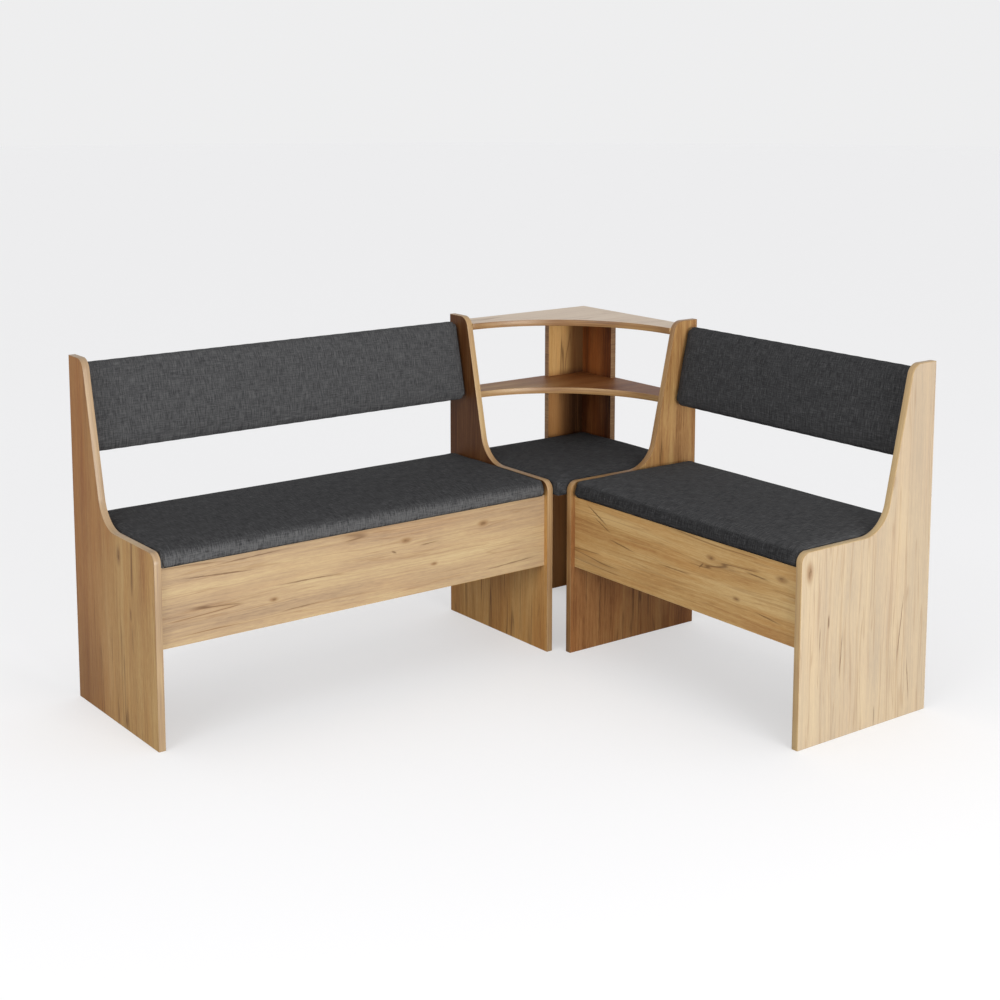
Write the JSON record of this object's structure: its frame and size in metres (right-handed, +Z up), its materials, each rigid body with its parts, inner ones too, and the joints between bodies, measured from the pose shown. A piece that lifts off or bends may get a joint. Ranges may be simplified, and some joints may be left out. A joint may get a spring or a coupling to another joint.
{
  "type": "corner bench",
  "caption": "Kitchen corner bench in oak-finish board: two upholstered benches with lift-up chest seats, joined by a corner seat with hollow-fronted shelves above.",
  "frame": {"origin": "on the floor under the middle of the footprint's box", "axes": "+X along the long bench towards the corner, +Y towards the wall behind the long bench, +Z up"},
  "size_m": [1.5, 1.213, 0.798],
  "materials": {
    "oak_laminate": "satin printed golden-oak laminate on chipboard",
    "oak_edge_band": "satin plastic edge band with the same oak print",
    "raw_chipboard": "bare chipboard",
    "hardboard": "smooth brown hardboard",
    "beech": "planed bare beech",
    "anthracite_fabric": "woven slub upholstery fabric over foam",
    "zinc_steel": "zinc-plated steel"
  },
  "bodies": {
    "frame": {"long_inner_side": "oak_laminate", "long_outer_side": "oak_laminate", "long_front_apron": "oak_laminate", "long_rear_rail": "oak_laminate", "long_inner_side_band": "oak_edge_band", "long_outer_side_band": "oak_edge_band", "long_apron_band": "oak_edge_band", "long_chest_bottom": "hardboard", "long_back_board": "raw_chipboard", "long_back_cushion": "anthracite_fabric", "long_back_brackets": "zinc_steel", "long_hinge_rail_leaves": "zinc_steel", "long_hinge_pins": "zinc_steel", "long_cams": "zinc_steel", "long_cam_bolts": "zinc_steel", "short_inner_side": "oak_laminate", "short_outer_side": "oak_laminate", "short_front_apron": "oak_laminate", "short_rear_rail": "oak_laminate", "short_inner_side_band": "oak_edge_band", "short_outer_side_band": "oak_edge_band", "short_apron_band": "oak_edge_band", "short_chest_bottom": "hardboard", "short_back_board": "raw_chipboard", "short_back_cushion": "anthracite_fabric", "short_back_brackets": "zinc_steel", "short_hinge_rail_leaves": "zinc_steel", "short_hinge_pins": "zinc_steel", "short_cams": "zinc_steel", "short_cam_bolts": "zinc_steel", "post_long_wall_board": "oak_laminate", "post_short_wall_board": "oak_laminate", "top_shelf": "oak_laminate", "middle_shelf": "oak_laminate", "post_bands": "oak_edge_band", "top_shelf_band": "oak_edge_band", "middle_shelf_band": "oak_edge_band", "post_screws": "zinc_steel", "shelf_dowels": "beech", "corner_seat_cleats": "beech", "corner_seat_board": "raw_chipboard", "corner_seat_cushion": "anthracite_fabric"},
    "long_seat": {"long_seat_board": "raw_chipboard", "long_seat_cushion": "anthracite_fabric", "long_hinge_seat_leaves": "zinc_steel"},
    "short_seat": {"short_seat_board": "raw_chipboard", "short_seat_cushion": "anthracite_fabric", "short_hinge_seat_leaves": "zinc_steel"}
  },
  "joints": [
    {"name": "long_seat_lift", "type": "hinge", "parent": "frame", "child": "long_seat", "pos_m": [0, 0.5224, 0.3924], "axis": [-1, 0, 0], "range_deg": [0, 72]},
    {"name": "short_seat_lift", "type": "hinge", "parent": "frame", "child": "short_seat", "pos_m": [0.6659, 0, 0.3924], "axis": [0, 1, 0], "range_deg": [0, 72]}
  ]
}
